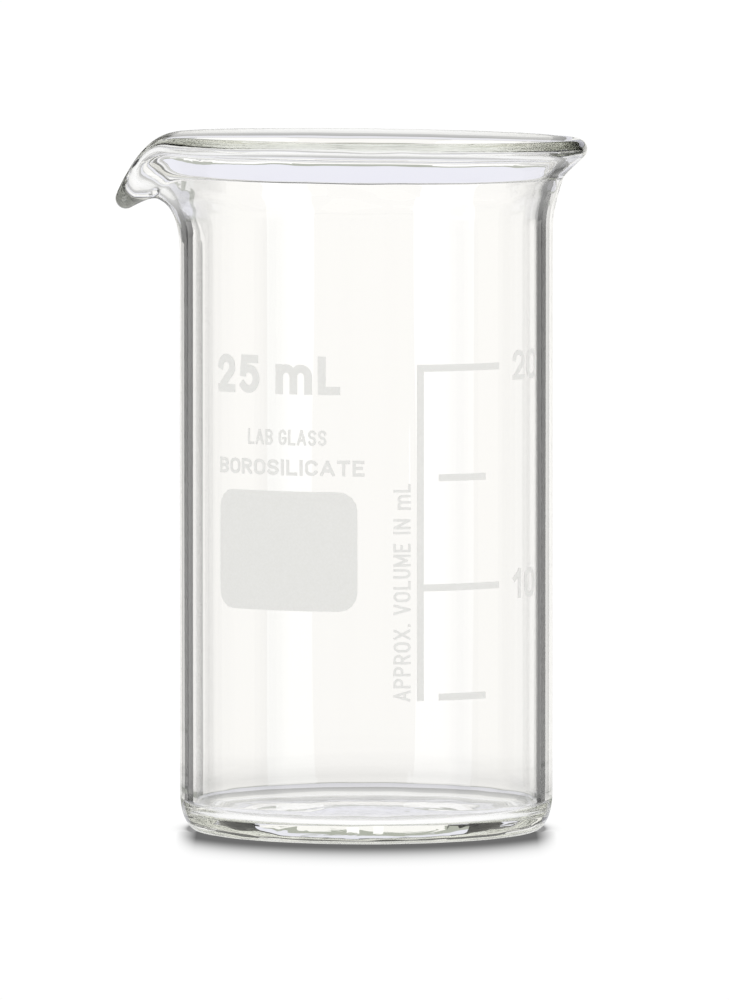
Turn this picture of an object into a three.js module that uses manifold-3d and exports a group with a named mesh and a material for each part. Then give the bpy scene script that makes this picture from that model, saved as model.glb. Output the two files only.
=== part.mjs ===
// A tall-form 25 mL laboratory beaker with a pouring spout: one blown borosilicate shell, and the
// white enamel that is printed on its outside and fired on. Every separate island of enamel is a
// solid of its own.
// Millimetres, +Z up. The origin is the centre of the flat underside. The spout points along -X
// and the print faces -Y. A bearing is an angle about Z, 0 at -Y and growing towards +X.

import * as THREE from "three";
import { mergeVertices } from "three/addons/utils/BufferGeometryUtils.js";
import Module from "manifold-3d";

const wasm = await Module();
wasm.setup();

// ---- The glass ----

const BODY_RADIUS = 15;
const WALL = 1.25;
const HEEL_WIDTH = 1.3; // the rounding between the underside and the outside, a quarter of an ellipse
const HEEL_HEIGHT = 3;
const FLOOR_HEIGHT = 1.6; // the inside floor at its rim
const FLOOR_DOME = 0.3; // how far the floor's centre stands above its rim
const FLOOR_CORNER = 1; // rounding between the floor and the bore
const BORE_RADIUS = BODY_RADIUS - WALL;
const MIDDLE_RADIUS = BODY_RADIUS - WALL / 2;

const LIP_RADIUS = 0.85; // half the thickness of the fire-polished edge
const RIM_TILT = 0.2; // the rim stands this much higher on the spout's side than over the axis

// The wall's middle line from the straight body to the middle of the lip: [outwards from the body's
// middle line, height]. It is two Bezier curves, which join between the third point and the fourth.
const PLAIN_FLARE = [[0, 48.5], [0, 49.9], [0.45, 51.4], [1, 53.2], [1.4, 53.8], [2.53, 54.95]];
const SPOUT_FLARE = [[0, 46.5], [0, 49.1], [0.73, 50.65], [2.75, 51.45], [3.77, 51.28], [4.93, 50.6]];
const FLARE_JOIN = 0.7; // share of the way from the third point to the fourth
const SPOUT_BEARING = THREE.MathUtils.degToRad(-90);
const SPOUT_SPREAD = THREE.MathUtils.degToRad(17.5); // bearing at which the spout has faded to 1/e
const SPOUT_DIP = 1.7; // above 1, the lip drops in a narrower stretch than it is drawn out in

const TURN_STEPS = 96; // facets round the beaker
const CORNER_STEPS = 4;
const HEEL_STEPS = 5;
const FLARE_STEPS = 5; // in each of the flare's two curves
const LIP_STEPS = 6;
const FLOOR_RINGS = 3;

// ---- The enamel ----

const FILM_GAP = 0.02;
const FILM = 0.08;
const FILM_TOP = 42; // the print lies on the straight part of the body, below this height

const TICK_VOLUME = 5; // millilitres from one mark of the scale to the next
const TICK_STEP = 8.72; // the height between them, printed 3.5% above what the bore gives
const FIRST_TICK_HEIGHT = 11.74;
const SCALE_LINE = 0.55; // thickness of the scale's lines
const SCALE_POST = 4.33; // middle of the upright line, along the circumference from bearing 0
const LONG_TICK_END = 11.72;
const SHORT_TICK = [5.89, 10.26];

const PATCH = { left: -13.3, right: -0.7, bottom: 18.6, top: 28.1, corner: 1.5 };

// Rows of letters. Every length is in millimetres: start and base are where the row begins, along
// the circumference and in height, width is a normal letter's, and weight is a stroke's.
const CAPACITY = { start: -13.54, base: 35.8, cap: 3.05, width: 2.04, weight: 0.66, gap: 0.45, space: 1.05 };
const NUMERAL = { start: 13.33, cap: 2.4, width: 1.62, weight: 0.42, gap: 0.32, space: 0 };
const SMALL_NOTE = { start: -10.15, base: 31.75, cap: 1.25, width: 0.7, weight: 0.21, gap: 0.13, space: 0.4 };
const LARGE_NOTE = { start: -13.3, base: 29.35, cap: 1.27, width: 1.06, weight: 0.27, gap: 0.17, space: 0 };
const LEGEND = { start: 3.55, base: 11.45, cap: 1.4, width: 0.77, weight: 0.21, gap: 0.18, space: 0.55 };

const LARGE_CAP = 2; // a letter taller than this has its arcs in finer steps, of so many degrees
const FINE_STEP = 12;
const COARSE_STEP = 24;
const SAME_POINT = 1e-6; // millimetres between two points that count as one

// ---- Materials ----

const glass = new THREE.MeshStandardMaterial({
  color: 0xf3f6f2,
  roughness: 0.02,
  metalness: 0,
  transparent: true,
  opacity: 0.35,
});
const enamel = new THREE.MeshStandardMaterial({ color: 0xe4e4e1, roughness: 0.5, metalness: 0 });

// ---- The shell ----

const mix = THREE.MathUtils.lerp;

// Points on part of an ellipse in the section, both ends included. It is a circle unless tall is given.
function sectionArc(r, z, wide, from, to, steps, tall = wide) {
  return Array.from({ length: steps + 1 }, (_, i) => {
    const angle = mix(from, to, i / steps);
    return [r + wide * Math.cos(angle), z + tall * Math.sin(angle)];
  });
}

// The wall's middle line above the straight body, at this angle from the spout.
function flareAt(angle) {
  const drawn = Math.exp(-((angle / SPOUT_SPREAD) ** 2));
  const dropped = drawn ** SPOUT_DIP;
  const points = PLAIN_FLARE.map(([out, height], i) => new THREE.Vector2(
    MIDDLE_RADIUS + mix(out, SPOUT_FLARE[i][0], drawn),
    mix(height, SPOUT_FLARE[i][1], dropped) + RIM_TILT * Math.cos(angle) * i / (PLAIN_FLARE.length - 1),
  ));
  const join = points[2].clone().lerp(points[3], FLARE_JOIN);
  return [
    new THREE.CubicBezierCurve(...points.slice(0, 3), join),
    new THREE.CubicBezierCurve(join, ...points.slice(3)),
  ];
}

// The section from the middle of the underside, up the outside, over the lip, down the inside and
// to the middle of the floor, as [radius, height].
function sectionAt(angle) {
  const flare = flareAt(angle);
  const outside = [];
  const inside = [];
  flare.forEach((curve, part) => {
    for (let i = part; i <= FLARE_STEPS; i++) {
      const share = i / FLARE_STEPS;
      const at = curve.getPoint(share);
      const along = curve.getTangent(share);
      const half = mix(WALL / 2, LIP_RADIUS, part * THREE.MathUtils.smoothstep(share, 0, 1));
      outside.push([at.x + half * along.y, at.y - half * along.x]);
      inside.unshift([at.x - half * along.y, at.y + half * along.x]);
    }
  });
  const lip = flare[1].getPoint(1);
  const edge = Math.atan2(-flare[1].getTangent(1).x, flare[1].getTangent(1).y);
  const floorRadius = BORE_RADIUS - FLOOR_CORNER;
  const floor = [];
  for (let i = FLOOR_RINGS - 1; i >= 0; i--) {
    const share = i / FLOOR_RINGS;
    floor.push([floorRadius * share, FLOOR_HEIGHT + FLOOR_DOME * Math.cos(share * Math.PI / 2) ** 2]);
  }
  return [
    [0, 0],
    ...sectionArc(BODY_RADIUS - HEEL_WIDTH, HEEL_HEIGHT, HEEL_WIDTH, -Math.PI / 2, 0, HEEL_STEPS, HEEL_HEIGHT),
    ...outside,
    ...sectionArc(lip.x, lip.y, LIP_RADIUS, edge, edge + Math.PI, LIP_STEPS).slice(1, -1),
    ...inside,
    ...sectionArc(floorRadius, FLOOR_HEIGHT + FLOOR_CORNER, FLOOR_CORNER, 0, -Math.PI / 2, CORNER_STEPS),
    ...floor,
  ];
}

// A turned shell whose rim is then drawn out into the spout, ring by ring.
function shellGeometry() {
  const plain = sectionAt(Math.PI);
  const geometry = new THREE.LatheGeometry(plain.map(([r, z]) => new THREE.Vector2(r, z)), TURN_STEPS);
  const position = geometry.getAttribute("position");
  for (let step = 0; step <= TURN_STEPS; step++) {
    const bearing = (step % TURN_STEPS) / TURN_STEPS * 2 * Math.PI;
    const away = bearing - SPOUT_BEARING;
    const section = sectionAt(Math.atan2(Math.sin(away), Math.cos(away)));
    section.forEach(([r, z], ring) => {
      position.setXYZ(step * plain.length + ring, r * Math.sin(bearing), -r * Math.cos(bearing), z);
    });
  }
  return geometry;
}

// ---- Solids ----

function solidOf(geometry) {
  const bare = geometry.clone();
  bare.deleteAttribute("normal");
  bare.deleteAttribute("uv");
  const merged = mergeVertices(bare);
  return new wasm.Manifold(new wasm.Mesh({
    numProp: 3,
    vertProperties: merged.getAttribute("position").array,
    triVerts: new Uint32Array(merged.getIndex().array),
  }));
}

function geometryOf(solid) {
  const mesh = solid.getMesh();
  const geometry = new THREE.BufferGeometry();
  geometry.setAttribute("position", new THREE.BufferAttribute(mesh.vertProperties, mesh.numProp));
  geometry.setIndex(new THREE.BufferAttribute(mesh.triVerts, 1));
  geometry.computeVertexNormals();
  return geometry;
}

// A thin sleeve round the body, with the body's own facets. Each mark is a piece cut out of it.
function sleeve() {
  const inner = BODY_RADIUS + FILM_GAP;
  const outer = inner + FILM;
  const profile = [[inner, 0], [outer, 0], [outer, FILM_TOP], [inner, FILM_TOP], [inner, 0]];
  const geometry = new THREE.LatheGeometry(profile.map(([r, z]) => new THREE.Vector2(r, z)), TURN_STEPS);
  geometry.rotateX(Math.PI / 2);
  return solidOf(geometry);
}

const film = sleeve();

// Straight-sided cutters through the sleeve. A loop is a list of points, [along the circumference
// from bearing 0, height], and is projected on the body from the bearing of the mark's middle.
function cutterOf([outside, ...holes], middle) {
  const flat = (loop) => loop.map(([along, height]) => new THREE.Vector2(
    BODY_RADIUS * Math.sin((along - middle) / BODY_RADIUS),
    height,
  ));
  const shape = new THREE.Shape(flat(outside));
  shape.holes = holes.map((hole) => new THREE.Path(flat(hole)));
  const geometry = new THREE.ExtrudeGeometry(shape, { depth: BODY_RADIUS, bevelEnabled: false });
  geometry.translate(0, 0, BODY_RADIUS / 2);
  geometry.rotateX(Math.PI / 2);
  geometry.rotateZ(middle / BODY_RADIUS);
  return solidOf(geometry);
}

// The enamel of one mark: its pieces joined, and trimmed to a window if it has one. A piece is an
// outside loop and the loops of its holes.
function enamelOf(pieces, window) {
  const across = pieces.flat(2).map((point) => point[0]);
  const middle = (Math.min(...across) + Math.max(...across)) / 2;
  const joined = pieces.map((piece) => cutterOf(piece, middle)).reduce((whole, part) => whole.add(part));
  const trimmed = window ? joined.intersect(cutterOf([window], middle)) : joined;
  return trimmed.intersect(film);
}

// ---- Lettering ----

// An arc in a letter's own square, by degrees, in steps of so many degrees.
const bend = (x, y, width, height, from, to) => (step) => {
  const count = Math.max(2, Math.ceil(Math.abs(to - from) / step));
  return Array.from({ length: count + 1 }, (_, i) => {
    const angle = THREE.MathUtils.degToRad(mix(from, to, i / count));
    return [x + width * Math.cos(angle), y + height * Math.sin(angle)];
  });
};

const ring = [bend(0.5, 0.7, 0.5, 0.3, 0, 180), bend(0.5, 0.3, 0.5, 0.3, 180, 360), [1, 0.7]]; // closed
const bowl = [[0, 1], [0.5, 1], bend(0.5, 0.75, 0.5, 0.25, 90, -90), [0, 0.5]];

// Each letter's strokes, as lines down the middle of the stroke. (0, 0) and (1, 1) are the corners
// of the box that those middle lines fill; wide is the letter's width beside a normal letter's.
const LETTERS = {
  0: { strokes: [ring] },
  1: { strokes: [[[0.8, 0], [0.8, 1]], [[0.8, 0.96], [0.1, 0.7]]], wide: 0.8 },
  2: { strokes: [[bend(0.5, 0.71, 0.5, 0.29, 170, -30), [0, 0]], [[0, 0], [1, 0]]] },
  5: { strokes: [[[0.92, 1], [0.14, 1], [0.06, 0.55]], [bend(0.46, 0.34, 0.54, 0.34, 125, -140)]] },
  A: { strokes: [[[0, 0], [0.5, 1]], [[0.5, 1], [1, 0]], [[0.2, 0.3], [0.8, 0.3]]], wide: 1.15 },
  B: { strokes: [[[0, 0], [0, 1]], bowl, [[0, 0.5], [0.5, 0.5], bend(0.5, 0.25, 0.5, 0.25, 90, -90), [0, 0]]] },
  C: { strokes: [[bend(0.5, 0.7, 0.5, 0.3, 20, 180), bend(0.5, 0.3, 0.5, 0.3, 180, 340)]] },
  E: { strokes: [[[1, 1], [0, 1], [0, 0], [1, 0]], [[0, 0.52], [0.8, 0.52]]], wide: 0.9 },
  G: { strokes: [[bend(0.5, 0.7, 0.5, 0.3, 20, 180), bend(0.5, 0.3, 0.5, 0.3, 180, 360), [1, 0.45], [0.6, 0.45]]] },
  I: { strokes: [[[0.5, 0], [0.5, 1]]], wide: 0.3 },
  L: { strokes: [[[0, 1], [0, 0], [1, 0]]], wide: 0.9 },
  M: { strokes: [[[0, 0], [0, 1]], [[0, 1], [0.5, 0.2]], [[0.5, 0.2], [1, 1]], [[1, 1], [1, 0]]], wide: 1.25 },
  N: { strokes: [[[0, 0], [0, 1]], [[0, 1], [1, 0]], [[1, 0], [1, 1]]], wide: 1.05 },
  O: { strokes: [ring], wide: 1.05 },
  P: { strokes: [[[0, 0], [0, 1]], bowl] },
  R: { strokes: [[[0, 0], [0, 1]], bowl, [[0.45, 0.5], [1, 0]]] },
  S: { strokes: [[bend(0.5, 0.75, 0.5, 0.25, 20, 270), bend(0.5, 0.25, 0.5, 0.25, 90, -160)]] },
  T: { strokes: [[[0, 1], [1, 1]], [[0.5, 1], [0.5, 0]]] },
  U: { strokes: [[[0, 1], [0, 0.3], bend(0.5, 0.3, 0.5, 0.3, 180, 360), [1, 1]]] },
  V: { strokes: [[[0, 1], [0.5, 0]], [[0.5, 0], [1, 1]]], wide: 1.1 },
  X: { strokes: [[[0, 0], [1, 1]], [[0, 1], [1, 0]]], wide: 1.1 },
  m: {
    strokes: [
      [[0, 0], [0, 0.72]],
      [[0, 0.42], bend(0.25, 0.44, 0.25, 0.28, 180, 0), [0.5, 0]],
      [[0.5, 0.42], bend(0.75, 0.44, 0.25, 0.28, 180, 0), [1, 0]],
    ],
    wide: 1.55,
  },
  ".": { strokes: [[[0.5, 0], [0.5, 0.02]]], wide: 0.3 },
};

// A stroke of this weight along a line, as an outside loop, and a hole where the line is closed.
// Its joints are mitred and its ends are square.
function strokeLoops(line, weight) {
  const far = (p, q) => Math.hypot(p[0] - q[0], p[1] - q[1]) > SAME_POINT;
  const closed = !far(line[0], line.at(-1));
  const points = line.filter((p, i) => far(p, line[i + 1] ?? (closed ? line[0] : [Infinity, 0])));
  const count = points.length;
  const ways = points.map((p, i) => {
    const q = points[(i + 1) % count];
    const length = Math.hypot(q[0] - p[0], q[1] - p[1]);
    return [(q[0] - p[0]) / length, (q[1] - p[1]) / length];
  });
  const half = weight / 2;
  const sides = points.map((p, i) => {
    const before = ways[i === 0 && !closed ? 0 : (i - 1 + count) % count];
    const after = closed || i < count - 1 ? ways[i] : before;
    const mitre = half / (1 + before[0] * after[0] + before[1] * after[1]);
    const across = [-(before[1] + after[1]) * mitre, (before[0] + after[0]) * mitre];
    const end = closed || (i > 0 && i < count - 1) ? 0 : half * (i === 0 ? -1 : 1);
    const middle = [p[0] + end * after[0], p[1] + end * after[1]];
    return [
      [middle[0] - across[0], middle[1] - across[1]],
      [middle[0] + across[0], middle[1] + across[1]],
    ];
  });
  const right = sides.map((side) => side[0]);
  const left = sides.map((side) => side[1]);
  return closed ? [right, left] : [[...right, ...left.reverse()]];
}

// A letter's strokes, in a box of this width whose lower left corner is (0, 0).
function letterPieces(letter, row, width) {
  const step = row.cap > LARGE_CAP ? FINE_STEP : COARSE_STEP;
  return LETTERS[letter].strokes.map((stroke) => {
    const line = stroke.flatMap((part) => (typeof part === "function" ? part(step) : [part]));
    return strokeLoops(line.map(([x, y]) => [
      row.weight / 2 + x * (width - row.weight),
      row.weight / 2 + y * (row.cap - row.weight),
    ]), row.weight);
  });
}

// ---- The model ----

const beaker = new THREE.Group();

function addNode(name, geometry, material) {
  const mesh = new THREE.Mesh(geometry, material);
  mesh.name = name;
  beaker.add(mesh);
}

function addMark(name, pieces, window) {
  addNode(name, geometryOf(enamelOf(pieces, window)), enamel);
}

const SIGNS = { ".": "point" };

// A row of letters. place turns a point of the row, [along it, above its base], into a point of
// the print. The nodes are named from the row, the letter's number and the letter.
function addRow(name, text, row, place) {
  let reached = 0;
  let number = 0;
  for (const letter of text) {
    if (letter === " ") {
      reached += row.space;
      continue;
    }
    number += 1;
    const width = Math.max(row.width * (LETTERS[letter].wide ?? 1), row.weight);
    const onto = (loop) => loop.map(([x, y]) => place(reached + x, y));
    const pieces = letterPieces(letter, row, width).map((piece) => piece.map(onto));
    const window = onto([[0, 0], [width, 0], [width, row.cap], [0, row.cap]]);
    addMark(`${name}_${String(number).padStart(2, "0")}_${SIGNS[letter] ?? letter}`, pieces, window);
    reached += width + row.gap;
  }
}

const level = (x, y, row) => [row.start + x, row.base + y];
const upwards = (x, y, row) => [row.start - y, row.base + x];

// A straight line of the scale, between two points.
function scaleLine(from, to) {
  const across = from[0] === to[0] ? [SCALE_LINE / 2, 0] : [0, SCALE_LINE / 2];
  return [[
    [from[0] - across[0], from[1] - across[1]],
    [to[0] + across[0], from[1] - across[1]],
    [to[0] + across[0], to[1] + across[1]],
    [from[0] - across[0], to[1] + across[1]],
  ]];
}

const tickHeight = (millilitres) => FIRST_TICK_HEIGHT + (millilitres / TICK_VOLUME - 1) * TICK_STEP;

function addScale() {
  const postLeft = SCALE_POST - SCALE_LINE / 2;
  const topTick = tickHeight(20);
  addMark("scale_post_with_long_ticks", [
    scaleLine([SCALE_POST, FIRST_TICK_HEIGHT - SCALE_LINE / 2], [SCALE_POST, topTick + SCALE_LINE / 2]),
    scaleLine([postLeft, tickHeight(10)], [LONG_TICK_END, tickHeight(10)]),
    scaleLine([postLeft, topTick], [LONG_TICK_END, topTick]),
  ]);
  for (const millilitres of [5, 15]) {
    const height = tickHeight(millilitres);
    addMark(`tick_${millilitres}_ml`, [scaleLine([SHORT_TICK[0], height], [SHORT_TICK[1], height])]);
  }
  for (const millilitres of [10, 20]) {
    const row = { ...NUMERAL, base: tickHeight(millilitres) - NUMERAL.cap / 2 };
    addRow(`numeral_${millilitres}`, String(millilitres), row, (x, y) => level(x, y, row));
  }
}

function addPatch() {
  const { left, right, bottom, top, corner } = PATCH;
  const quarter = (x, y, from) => sectionArc(x, y, corner, from, from + Math.PI / 2, CORNER_STEPS);
  addMark("marking_patch", [[[
    ...quarter(right - corner, top - corner, 0),
    ...quarter(left + corner, top - corner, Math.PI / 2),
    ...quarter(left + corner, bottom + corner, Math.PI),
    ...quarter(right - corner, bottom + corner, -Math.PI / 2),
  ]]]);
}

addNode("glass_body", shellGeometry(), glass);
addScale();
addPatch();
addRow("capacity", "25 mL", CAPACITY, (x, y) => level(x, y, CAPACITY));
addRow("small_note", "LAB GLASS", SMALL_NOTE, (x, y) => level(x, y, SMALL_NOTE));
addRow("large_note", "BOROSILICATE", LARGE_NOTE, (x, y) => level(x, y, LARGE_NOTE));
addRow("legend", "APPROX. VOLUME IN mL", LEGEND, (x, y) => upwards(x, y, LEGEND));

export default beaker;
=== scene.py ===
"""A tall-form 25 mL beaker of clear borosilicate glass, with white enamel print fired on it.

Metres, in the CAD frame: +Z up, the spout along -X, the print facing -Y. A bearing is an angle
about Z, 0 at -Y and growing towards +X.
"""

import math

import bmesh
import bpy
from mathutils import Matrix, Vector, noise


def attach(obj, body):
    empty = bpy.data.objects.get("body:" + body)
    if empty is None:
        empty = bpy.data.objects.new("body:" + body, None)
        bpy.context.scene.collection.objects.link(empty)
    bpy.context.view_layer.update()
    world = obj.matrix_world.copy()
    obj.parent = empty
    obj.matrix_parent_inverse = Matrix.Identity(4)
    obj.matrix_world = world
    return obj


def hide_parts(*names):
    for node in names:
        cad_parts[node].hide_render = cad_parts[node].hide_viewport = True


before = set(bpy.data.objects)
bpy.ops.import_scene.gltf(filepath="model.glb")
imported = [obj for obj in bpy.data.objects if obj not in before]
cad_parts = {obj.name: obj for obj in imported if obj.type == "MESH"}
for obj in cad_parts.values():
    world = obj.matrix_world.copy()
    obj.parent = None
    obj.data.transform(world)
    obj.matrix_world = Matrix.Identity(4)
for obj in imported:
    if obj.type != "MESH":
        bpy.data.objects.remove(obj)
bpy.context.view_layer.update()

MM = 0.001

# ---- The glass, in millimetres ----

BODY_RADIUS = 15.0
WALL = 1.25
HEEL_WIDTH = 1.3
HEEL_HEIGHT = 3.0
FLOOR_HEIGHT = 1.6
FLOOR_DOME = 0.3
FLOOR_CORNER = 1.0
BORE_RADIUS = BODY_RADIUS - WALL
MIDDLE_RADIUS = BODY_RADIUS - WALL / 2
LIP_RADIUS = 0.85
RIM_TILT = 0.2

# The wall's middle line from the straight body to the middle of the lip: [outwards from the body's
# middle line, height]. It is two Bezier curves, which join between the third point and the fourth.
PLAIN_FLARE = [(0, 48.5), (0, 49.9), (0.45, 51.4), (1.0, 53.2), (1.4, 53.8), (2.53, 54.95)]
SPOUT_FLARE = [(0, 46.5), (0, 49.1), (0.73, 50.65), (2.75, 51.45), (3.77, 51.28), (4.93, 50.6)]
FLARE_JOIN = 0.7  # share of the way from the third point to the fourth
SPOUT_BEARING = math.radians(-90)
SPOUT_SPREAD = math.radians(17.5)
SPOUT_DIP = 1.7

# The ripples that turning the rim and pressing the foot leave in the glass.
RIM_RIPPLE = 0.012
RIM_RIPPLES_FROM = 49.5
FOOT_RIPPLE = 0.02
FOOT_RIPPLES_TO = 3.5
RIPPLE_FADE = 2.5  # the height over which they fade into the plain wall
FOOT_CALM = 9  # inside this radius the foot's ripples die away towards the axis
RIPPLES_ROUND = 5  # waves to a radian, about
RIPPLE_WIDTH = 0.9  # across a wave, along the section

TURN_STEPS = 320
CORNER_STEPS = 14
WALL_STEPS = 36
FLARE_STEPS = 18
LIP_STEPS = 14
FLOOR_STEPS = 16

# ---- The view: metres, and millimetres for the sensor ----

CAMERA_DISTANCE = 0.950
CAMERA_HEIGHT = 0.090
AIM_HEIGHT = 0.0265
SENSOR = 36.0
VIEW_HEIGHT = 0.08045  # what the frame's height takes in at the beaker's axis
VIEW_SHIFT = -0.0018  # a share of the frame's height, which puts the axis right of the middle
VIEW_REACH = 50

# ---- The studio, in metres where no other unit is named ----

FLOOR_SIZE = 12.0
FLOOR_GAP = 0.00003  # the beaker stands on its highest grains, so the floor doesn't touch its face
FLOOR_LIGHT = 1.02
FLOOR_ROUGHNESS = 0.02

# The foot's soft shadow, painted into the floor's light where it is seen directly, in millimetres. It
# falls forwards, along -Y.
SHADOW_RADIUS = 15.6
SHADOW_LENGTH = 7.7
SHADOW_FALL = 1.7  # how sharply it ends: 1 is an even fade, and more is a fuller shadow
SHADOW_START = 1  # it begins this far behind the axis
SHADOW_RISE = 4  # and is at its full depth this much further forwards
SHADOW_EDGE = 15.3
SHADOW_SOFTNESS = 1.7
SHADOW_DEPTH = 0.85

# A painted contact shadow: the thin dark line where the foot meets the floor, all the way round.
CONTACT_SHADOW_RADIUS = 14.4
CONTACT_SHADOW_WIDTH = 0.4
CONTACT_SHADOW_DEPTH = 0.7

# The wider painted shade round the foot, which only the glass shows, where it sees the floor at a
# slant:
# (share of the reach in millimetres, brightness), painted into the floor's gloss colour and its own
# light.
SHADE_REACH = 100
PAINTED_GLOSS_SHADE = [(0, 0.92), (0.15, 0.92), (0.17, 0.8), (0.3, 0.72), (0.75, 1)]
PAINTED_LIGHT_SHADE = [(0, 0.92), (0.15, 0.92), (0.17, 0.8), (0.3, 0.72), (0.75, 0.75)]
SLANT_START = 0.3  # of the facing weight, which is 0 straight down and 1 along the floor
SLANT_RISE = 0.5

# Each card is its bearings in degrees, its heights and its light. The low flags give the walls
# their dark bands, the strips give the interior its bright ones, the backdrop gives the flare its
# pale violet and the base card darkens the foot.
FLAGS = {
    "low_flag_left": ((197, 216), (0, 0.16), (0, 0, 0)),
    "low_flag_right": ((138, 156), (0, 0.16), (0, 0, 0)),
    "high_flag_left": ((203, 216), (0.16, 0.42), (0.02, 0.02, 0.015)),
    "high_flag_right": ((132, 154.5), (0.16, 0.42), (0.02, 0.02, 0.015)),
    "right_flag_back": ((107, 123), (0, 0.42), (0.75, 0.75, 0.73)),
    "right_flag_front": ((57, 73), (0, 0.42), (0.45, 0.45, 0.43)),
    "left_flag_back": ((-123, -107), (0, 0.42), (0.45, 0.45, 0.43)),
    "left_flag_front": ((-73, -57), (0, 0.42), (0.45, 0.45, 0.43)),
}
STRIPS = {
    "strip_left": ((181.4, 183.4), (0, 0.163), (1.09, 1.085, 1.06)),
    "strip_right": ((176.2, 178.7), (0, 0.163), (1.1, 1.09, 1.07)),
}
WALLS = {
    "room": ((-110, 110), (0, 2.2), (1.0, 0.985, 0.93)),
    "sweep": ((110, 250), (0, 0.163), (1.012, 0.998, 0.97)),
    "base_card": ((110, 250), (0.163, 0.205), (0.42, 0.44, 0.38)),
    "backdrop": ((110, 250), (0.205, 0.42), (0.84, 0.84, 0.92)),
    "backdrop_edge": ((110, 250), (0.42, 0.8), (0.06, 0.06, 0.05)),
    "scrim": ((110, 250), (0.8, 2.2), (0.74, 0.73, 0.67)),
}
STRIP_DISTANCE = 1.5
FLAG_DISTANCE = 1.6
WALL_DISTANCE = 1.7
CARD_TURN = 10  # degrees between a curved card's folds
CEILING_SIZE = 3.4
CEILING_HEIGHT = 2.2
CEILING_LIGHT = (0.6, 0.6, 0.58)
WORLD_LIGHT = 1.25
BOUNCES = 64


def mix(a, b, t):
    return a + (b - a) * t


def add_camera():
    eye = Vector((0, -CAMERA_DISTANCE, CAMERA_HEIGHT))
    way = Vector((0, 0, AIM_HEIGHT)) - eye
    data = bpy.data.cameras.new("camera")
    data.sensor_width = SENSOR
    data.lens = SENSOR * way.length / VIEW_HEIGHT
    data.shift_x = VIEW_SHIFT
    data.clip_end = VIEW_REACH
    camera = bpy.data.objects.new("camera", data)
    camera.location = eye
    camera.rotation_euler = way.to_track_quat("-Z", "Y").to_euler()
    bpy.context.scene.collection.objects.link(camera)
    bpy.context.scene.camera = camera


# ---- Materials ----

GLASS_INDEX = 1.473
GLASS_TINT = (0.985, 0.987, 0.98)
GLASS_TINT_DENSITY = 100
DRAW_LINES = (700, 700, 20)  # grains to the metre: upright lines left by the drawing of the tube
RIM_STREAKS = (60, 60, 900)  # level streaks left by the tool that turned the rim
GLASS_RELIEF = 0.000004
ENAMEL_GRAINS = (6000, 6000, 6000)
ENAMEL_GRAIN_DETAIL = 4
ENAMEL_SHADES = [(0.3, (0.91, 0.91, 0.89)), (0.7, (0.94, 0.94, 0.925))]
ENAMEL_ROUGHNESS = [(0.3, (0.38, 0.38, 0.38)), (0.7, (0.52, 0.52, 0.52))]
ENAMEL_TRANSLUCENCE = 0.25


def node_material(name):
    material = bpy.data.materials.new(name)
    material.use_nodes = True
    return material, material.node_tree.nodes, material.node_tree.links


def set_input(links, socket, value):
    """Gives a node's input a value, which is a number or another node's output."""
    if isinstance(value, bpy.types.NodeSocket):
        links.new(value, socket)
    else:
        socket.default_value = value


def math_node(nodes, links, operation, *values):
    node = nodes.new("ShaderNodeMath")
    node.operation = operation
    for socket, value in zip(node.inputs, values):
        set_input(links, socket, value)
    return node.outputs[0]


def mix_shaders(nodes, links, share, first, second):
    """Two shaders mixed, with this share of the second."""
    node = nodes.new("ShaderNodeMixShader")
    set_input(links, node.inputs[0], share)
    links.new(first, node.inputs[1])
    links.new(second, node.inputs[2])
    return node.outputs[0]


def noise_node(nodes, links, scale, detail):
    """Noise in the object's own space, with so many grains to the metre along X, Y and Z."""
    place = nodes.new("ShaderNodeMapping")
    place.inputs["Scale"].default_value = scale
    links.new(nodes.new("ShaderNodeTexCoord").outputs["Object"], place.inputs["Vector"])
    grain = nodes.new("ShaderNodeTexNoise")
    grain.inputs["Scale"].default_value = 1
    grain.inputs["Detail"].default_value = detail
    links.new(place.outputs[0], grain.inputs["Vector"])
    return grain.outputs["Fac"]


def ramp_node(nodes, links, value, stops):
    """A Color Ramp through (position, colour) stops, with eased steps."""
    node = nodes.new("ShaderNodeValToRGB")
    node.color_ramp.interpolation = "EASE"
    steps = node.color_ramp.elements
    while len(steps) < len(stops):
        steps.new(0.5)
    for step, (position, colour) in zip(steps, stops):
        step.position = position
        step.color = (*colour, 1)
    links.new(value, node.inputs[0])
    return node.outputs[0]


def glass_material():
    """Clear glass, with a faint tint and the fine lines that drawing and turning leave."""
    material, nodes, links = node_material("borosilicate_glass")
    shader = nodes["Principled BSDF"]
    shader.inputs["Base Color"].default_value = (1, 1, 1, 1)
    shader.inputs["Roughness"].default_value = 0
    shader.inputs["IOR"].default_value = GLASS_INDEX
    shader.inputs["Transmission Weight"].default_value = 1
    absorption = nodes.new("ShaderNodeVolumeAbsorption")
    absorption.inputs["Color"].default_value = (*GLASS_TINT, 1)
    absorption.inputs["Density"].default_value = GLASS_TINT_DENSITY
    links.new(absorption.outputs[0], nodes["Material Output"].inputs["Volume"])

    drawn = noise_node(nodes, links, DRAW_LINES, 1)
    turned = noise_node(nodes, links, RIM_STREAKS, 1)
    bump = nodes.new("ShaderNodeBump")
    bump.inputs["Distance"].default_value = GLASS_RELIEF
    links.new(math_node(nodes, links, "ADD", drawn, turned), bump.inputs["Height"])
    links.new(bump.outputs[0], shader.inputs["Normal"])
    return material


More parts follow.
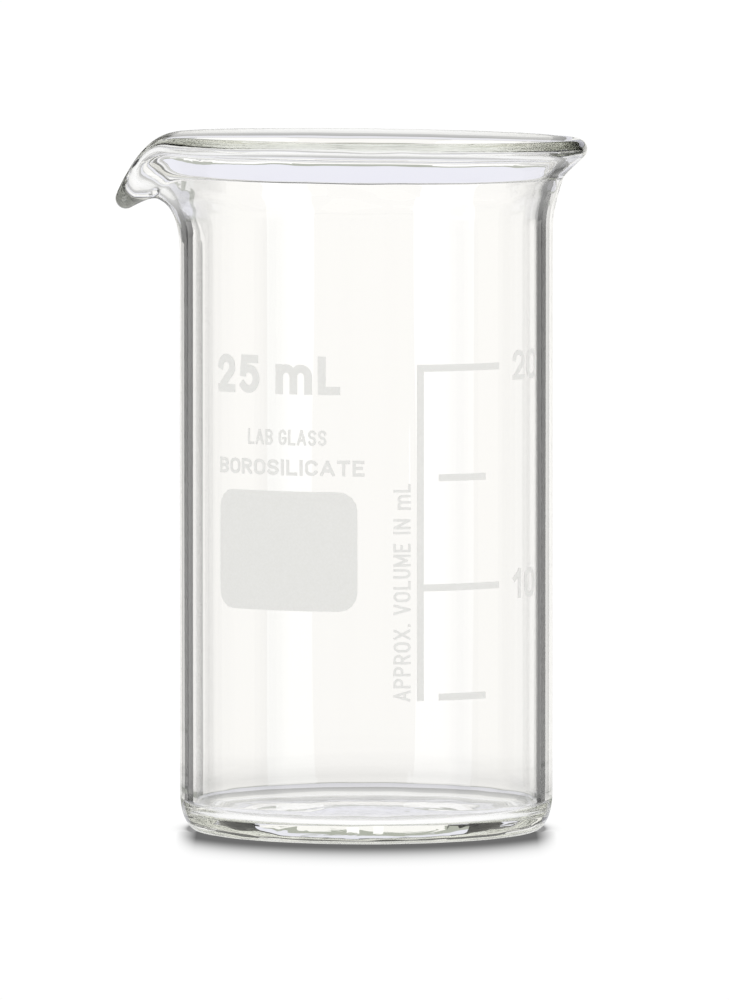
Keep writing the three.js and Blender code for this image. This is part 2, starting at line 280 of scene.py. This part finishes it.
def enamel_material():
    """Screen-printed enamel: fine grains of glass frit, fired to a satin skin."""
    material, nodes, links = node_material("fired_enamel")
    shader = nodes["Principled BSDF"]
    grain = noise_node(nodes, links, ENAMEL_GRAINS, ENAMEL_GRAIN_DETAIL)
    shade = ramp_node(nodes, links, grain, ENAMEL_SHADES)
    links.new(shade, shader.inputs["Base Color"])
    links.new(ramp_node(nodes, links, grain, ENAMEL_ROUGHNESS), shader.inputs["Roughness"])
    through = nodes.new("ShaderNodeBsdfTranslucent")
    links.new(shade, through.inputs["Color"])
    frit = mix_shaders(nodes, links, ENAMEL_TRANSLUCENCE, shader.outputs[0], through.outputs[0])

    # The glass shows the print directly, but doesn't mirror it.
    mirrored = nodes.new("ShaderNodeLightPath").outputs["Glossy Depth"]
    unseen = nodes.new("ShaderNodeBsdfTransparent").outputs[0]
    shown = mix_shaders(nodes, links, mirrored, frit, unseen)
    links.new(shown, nodes["Material Output"].inputs["Surface"])
    return material


def emission_material(name, light):
    material, nodes, links = node_material(name)
    glow = nodes.new("ShaderNodeEmission")
    glow.inputs["Color"].default_value = (*light, 1)
    links.new(glow.outputs[0], nodes["Material Output"].inputs["Surface"])
    return material


def painted_floor_shadow(maths, x, y, away):
    """What the foot's painted soft shadow and its painted contact shadow leave of the floor's light.
    """
    # The painted shadow, swept forwards from the foot's circle and faded at its sides.
    chord = maths("SUBTRACT", SHADOW_RADIUS**2, maths("MULTIPLY", x, x))
    reach = maths("SQRT", maths("MAXIMUM", chord, 0))
    ahead = maths("MAXIMUM", maths("SUBTRACT", maths("MULTIPLY", y, -1), reach), 0)
    fall = maths("POWER", maths("DIVIDE", ahead, SHADOW_LENGTH), SHADOW_FALL)
    inside = maths("MAXIMUM", maths("SUBTRACT", SHADOW_EDGE, maths("ABSOLUTE", x)), 0)
    edge = maths("MINIMUM", maths("DIVIDE", inside, SHADOW_SOFTNESS), 1)
    front = maths("DIVIDE", maths("SUBTRACT", SHADOW_START, y), SHADOW_RISE)
    front = maths("MINIMUM", maths("MAXIMUM", front, 0), 1)
    shadow = maths("EXPONENT", maths("MULTIPLY", fall, -1))
    shadow = maths("MULTIPLY", maths("MULTIPLY", shadow, maths("MULTIPLY", edge, front)), SHADOW_DEPTH)

    # The painted contact shadow, all the way round the foot.
    beyond = maths("MAXIMUM", maths("SUBTRACT", away, CONTACT_SHADOW_RADIUS), 0)
    line = maths("EXPONENT", maths("DIVIDE", beyond, -CONTACT_SHADOW_WIDTH))
    line = maths("MULTIPLY", line, CONTACT_SHADOW_DEPTH)
    return maths("SUBTRACT", 1, maths("MAXIMUM", shadow, line))


def floor_material():
    """Backlit white acrylic with the beaker's soft shadow painted into its light. It is matt where it
    is seen directly, and glossy where the glass shows it, with a wider painted shade round the foot
    there."""
    material, nodes, links = node_material("floor")

    def maths(operation, *values):
        return math_node(nodes, links, operation, *values)

    def shade_of(stops):
        greys = [(position, (grey, grey, grey)) for position, grey in stops]
        return ramp_node(nodes, links, maths("DIVIDE", away, SHADE_REACH), greys)

    split = nodes.new("ShaderNodeSeparateXYZ")
    links.new(nodes.new("ShaderNodeTexCoord").outputs["Object"], split.inputs[0])
    x = maths("DIVIDE", split.outputs[0], MM)
    y = maths("DIVIDE", split.outputs[1], MM)
    away = maths("SQRT", maths("ADD", maths("MULTIPLY", x, x), maths("MULTIPLY", y, y)))
    direct = nodes.new("ShaderNodeLightPath").outputs["Is Camera Ray"]
    weight = nodes.new("ShaderNodeLayerWeight")
    weight.inputs["Blend"].default_value = 0.5
    facing = weight.outputs["Facing"]

    # The painted shade round the foot, in the light that the glass sees; the camera sees the painted
    # shadow instead.
    slant = maths("DIVIDE", maths("SUBTRACT", facing, SLANT_START), SLANT_RISE)
    slant = maths("MINIMUM", maths("MAXIMUM", slant, 0), 1)
    shaded = maths("MULTIPLY", slant, maths("SUBTRACT", 1, shade_of(PAINTED_LIGHT_SHADE)))
    light = nodes.new("ShaderNodeMix")
    light.data_type = "RGBA"
    links.new(direct, light.inputs["Factor"])
    links.new(maths("SUBTRACT", 1, shaded), light.inputs["A"])
    links.new(painted_floor_shadow(maths, x, y, away), light.inputs["B"])
    glow = nodes.new("ShaderNodeEmission")
    glow.inputs["Strength"].default_value = FLOOR_LIGHT
    links.new(light.outputs["Result"], glow.inputs["Color"])

    # The gloss colour carries the painted shade round the foot as well.
    gloss = nodes.new("ShaderNodeBsdfGlossy")
    gloss.inputs["Roughness"].default_value = FLOOR_ROUGHNESS
    links.new(shade_of(PAINTED_GLOSS_SHADE), gloss.inputs["Color"])
    open_floor = maths("GREATER_THAN", away, BODY_RADIUS)
    grazing = maths("MULTIPLY", maths("POWER", facing, 2), open_floor)
    share = maths("MULTIPLY", grazing, maths("SUBTRACT", 1, direct))
    surface = mix_shaders(nodes, links, share, glow.outputs[0], gloss.outputs[0])
    links.new(surface, nodes["Material Output"].inputs["Surface"])
    return material


# ---- Glass body ----


def arc(r, z, wide, tall, start, end, steps):
    """Points on part of an ellipse in the section, both ends included."""
    angles = [mix(start, end, i / steps) for i in range(steps + 1)]
    return [(r + wide * math.cos(a), z + tall * math.sin(a)) for a in angles]


def upright(r, start, end):
    """Points on an upright line in the section, without its ends."""
    return [(r, mix(start, end, i / WALL_STEPS)) for i in range(1, WALL_STEPS)]


def smooth(t):
    """An eased step from 0 to 1, flat before and after."""
    t = min(max(t, 0), 1)
    return t * t * (3 - 2 * t)


def bezier(points, t):
    """A point of a cubic Bezier curve, and the direction there."""
    shares = ((1 - t) ** 3, 3 * t * (1 - t) ** 2, 3 * t * t * (1 - t), t**3)
    speeds = (-((1 - t) ** 2), (1 - t) * (1 - 3 * t), t * (2 - 3 * t), t * t)
    at = Vector(tuple(sum(s * p[k] for s, p in zip(shares, points)) for k in (0, 1)))
    along = Vector(tuple(sum(s * p[k] for s, p in zip(speeds, points)) for k in (0, 1)))
    return at, along.normalized()


def flare_at(angle):
    """The wall's middle line above the straight body, at this angle from the spout."""
    drawn = math.exp(-((angle / SPOUT_SPREAD) ** 2))
    dropped = drawn**SPOUT_DIP
    points = []
    for i, (plain, spout) in enumerate(zip(PLAIN_FLARE, SPOUT_FLARE)):
        tilt = RIM_TILT * math.cos(angle) * i / (len(PLAIN_FLARE) - 1)
        out = mix(plain[0], spout[0], drawn)
        points.append(Vector((MIDDLE_RADIUS + out, mix(plain[1], spout[1], dropped) + tilt)))
    join = points[2].lerp(points[3], FLARE_JOIN)
    return [*points[:3], join], [join, *points[3:]]


def section_at(angle):
    """The wall's closed section at this angle from the spout, from the middle of the underside up
    the outside, over the lip and down the inside to the middle of the floor."""
    outside = []
    inside = []
    for part, points in enumerate(flare_at(angle)):
        for i in range(part, FLARE_STEPS + 1):
            share = i / FLARE_STEPS
            at, along = bezier(points, share)
            half = mix(WALL / 2, LIP_RADIUS, part * smooth(share))
            outside.append((at.x + half * along.y, at.y - half * along.x))
            inside.insert(0, (at.x - half * along.y, at.y + half * along.x))
    edge = math.atan2(-along.x, along.y)
    lip = arc(at.x, at.y, LIP_RADIUS, LIP_RADIUS, edge, edge + math.pi, LIP_STEPS)[1:-1]

    foot_radius = BODY_RADIUS - HEEL_WIDTH
    floor_radius = BORE_RADIUS - FLOOR_CORNER
    corner_height = FLOOR_HEIGHT + FLOOR_CORNER
    quarter = math.pi / 2
    underside = [(foot_radius * i / FLOOR_STEPS, 0) for i in range(FLOOR_STEPS)]
    heel = arc(foot_radius, HEEL_HEIGHT, HEEL_WIDTH, HEEL_HEIGHT, -quarter, 0, CORNER_STEPS)
    wall_out = upright(BODY_RADIUS, HEEL_HEIGHT, outside[0][1])
    wall_in = upright(BORE_RADIUS, inside[-1][1], corner_height)
    corner = arc(floor_radius, corner_height, FLOOR_CORNER, FLOOR_CORNER, 0, -quarter, CORNER_STEPS)
    floor = []
    for i in range(FLOOR_STEPS - 1, -1, -1):
        share = i / FLOOR_STEPS
        dome = FLOOR_DOME * math.cos(share * quarter) ** 2
        floor.append((floor_radius * share, FLOOR_HEIGHT + dome))
    return underside + heel + wall_out + outside + lip + inside + wall_in + corner + floor


def ripple_at(bearing, along, r, z):
    """How far the surface stands proud of the plain one, this far along the section."""
    rim = smooth((z - RIM_RIPPLES_FROM) / RIPPLE_FADE)
    foot = smooth((FOOT_RIPPLES_TO - z) / RIPPLE_FADE) * smooth(r / FOOT_CALM)
    round_x = math.sin(bearing) * RIPPLES_ROUND
    round_y = math.cos(bearing) * RIPPLES_ROUND
    wave = noise.noise(Vector((round_x, round_y, along / RIPPLE_WIDTH)))
    return wave * (rim * RIM_RIPPLE + foot * FOOT_RIPPLE)


def rippled(section, bearing):
    """The section with its ripples, without its two ends on the axis."""
    points = []
    along = 0
    for before, at, after in zip(section, section[1:], section[2:]):
        along += math.dist(before, at)
        way = Vector(after) - Vector(before)
        out = ripple_at(bearing, along, *at) / way.length
        points.append((at[0] + out * way.y, at[1] - out * way.x))
    return points


def add_glass():
    mesh = bpy.data.meshes.new("beaker_glass")
    shape = bmesh.new()
    plain = section_at(math.pi)
    first = shape.verts.new((0, 0, plain[0][1] * MM))
    last = shape.verts.new((0, 0, plain[-1][1] * MM))
    columns = []
    for step in range(TURN_STEPS):
        bearing = 2 * math.pi * step / TURN_STEPS
        away = bearing - SPOUT_BEARING
        section = rippled(section_at(math.atan2(math.sin(away), math.cos(away))), bearing)
        columns.append([
            shape.verts.new((r * MM * math.sin(bearing), -r * MM * math.cos(bearing), z * MM))
            for r, z in section
        ])
    for step, column in enumerate(columns):
        beside = columns[(step + 1) % TURN_STEPS]
        shape.faces.new((first, beside[0], column[0]))
        shape.faces.new((last, column[-1], beside[-1]))
        for i in range(len(column) - 1):
            shape.faces.new((column[i], beside[i], beside[i + 1], column[i + 1]))
    shape.normal_update()
    if shape.calc_volume(signed=True) < 0:
        bmesh.ops.reverse_faces(shape, faces=shape.faces)
    for face in shape.faces:
        face.smooth = True
    shape.to_mesh(mesh)
    shape.free()
    glass = bpy.data.objects.new("beaker_glass", mesh)
    bpy.context.scene.collection.objects.link(glass)
    mesh.materials.append(glass_material())
    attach(glass, "root")
    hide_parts("glass_body")


# ---- Enamel marks ----

# In millimetres. The film is as thick as fired print really is, which the CAD's isn't.
FILM_GAP = 0.004
FILM = 0.025
CAD_FILM_GAP = 0.02
CAD_FILM = 0.08
CUT_STEP = math.radians(1.25)
SAME_POINT = 0.0000001  # metres


def add_mark(node, material):
    """A copy of a printed mark, cut by upright planes through the beaker's axis and laid on the
    true circle, so that it follows the glass smoothly."""
    shape = bmesh.new()
    shape.from_mesh(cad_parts[node].data)
    bmesh.ops.remove_doubles(shape, verts=shape.verts, dist=SAME_POINT)
    bearings = [math.atan2(v.co.x, -v.co.y) for v in shape.verts]
    low = math.floor(min(bearings) / CUT_STEP)
    high = math.ceil(max(bearings) / CUT_STEP)
    for step in range(low, high + 1):
        bearing = step * CUT_STEP
        bmesh.ops.bisect_plane(
            shape,
            geom=shape.verts[:] + shape.edges[:] + shape.faces[:],
            dist=SAME_POINT,
            plane_co=(0, 0, 0),
            plane_no=(math.cos(bearing), math.sin(bearing), 0),
        )
    cad_middle = (BODY_RADIUS + CAD_FILM_GAP + CAD_FILM / 2) * MM
    for v in shape.verts:
        height = FILM_GAP if v.co.xy.length < cad_middle else FILM_GAP + FILM
        v.co.xy *= (BODY_RADIUS + height) * MM / v.co.xy.length
    mesh = bpy.data.meshes.new(node + "_print")
    shape.to_mesh(mesh)
    shape.free()
    mark = bpy.data.objects.new(node + "_print", mesh)
    bpy.context.scene.collection.objects.link(mark)
    mesh.materials.append(material)
    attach(mark, "root")
    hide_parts(node)


# ---- Stage ----


def add_square(name, size, height, material):
    signs = ((-1, -1), (1, -1), (1, 1), (-1, 1))
    corners = [(x * size / 2, y * size / 2, height) for x, y in signs]
    return add_surface(name, corners, [(0, 1, 2, 3)], material)


def add_surface(name, corners, faces, material):
    mesh = bpy.data.meshes.new(name)
    mesh.from_pydata(corners, [], faces)
    mesh.materials.append(material)
    obj = bpy.data.objects.new(name, mesh)
    bpy.context.scene.collection.objects.link(obj)
    return obj


def hide_card(card):
    """Leaves a card to be seen by the glass alone."""
    card.visible_camera = False
    card.visible_diffuse = False
    card.visible_shadow = False


def add_card(name, bearings, heights, light, distance):
    """An upright curved card that only the glass sees: a dark one is a photographer's flag, and a
    bright one a strip light."""
    count = math.ceil((bearings[1] - bearings[0]) / CARD_TURN)
    corners = []
    for i in range(count + 1):
        bearing = math.radians(mix(*bearings, i / count))
        corners += [(distance * math.sin(bearing), -distance * math.cos(bearing), h) for h in heights]
    faces = [(2 * i, 2 * i + 2, 2 * i + 3, 2 * i + 1) for i in range(count)]
    hide_card(add_surface(name, corners, faces, emission_material(name, light)))


def add_world():
    world = bpy.data.worlds.new("studio")
    bpy.context.scene.world = world
    world.use_nodes = True
    background = world.node_tree.nodes["Background"]
    background.inputs["Color"].default_value = (1, 1, 1, 1)
    background.inputs["Strength"].default_value = WORLD_LIGHT


def add_stage():
    add_square("floor", FLOOR_SIZE, -FLOOR_GAP, floor_material())
    ceiling = emission_material("ceiling", CEILING_LIGHT)
    hide_card(add_square("ceiling", CEILING_SIZE, CEILING_HEIGHT, ceiling))
    rings = ((FLAGS, FLAG_DISTANCE), (STRIPS, STRIP_DISTANCE), (WALLS, WALL_DISTANCE))
    for cards, distance in rings:
        for name, (bearings, heights, light) in cards.items():
            add_card(name, bearings, heights, light, distance)
    add_world()


add_camera()
add_glass()
enamel = enamel_material()
for node in sorted(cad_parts):
    if node != "glass_body":
        add_mark(node, enamel)
add_stage()

scene = bpy.context.scene
scene.view_settings.view_transform = "Standard"
scene.cycles.max_bounces = BOUNCES
scene.cycles.transmission_bounces = BOUNCES
scene.cycles.glossy_bounces = BOUNCES
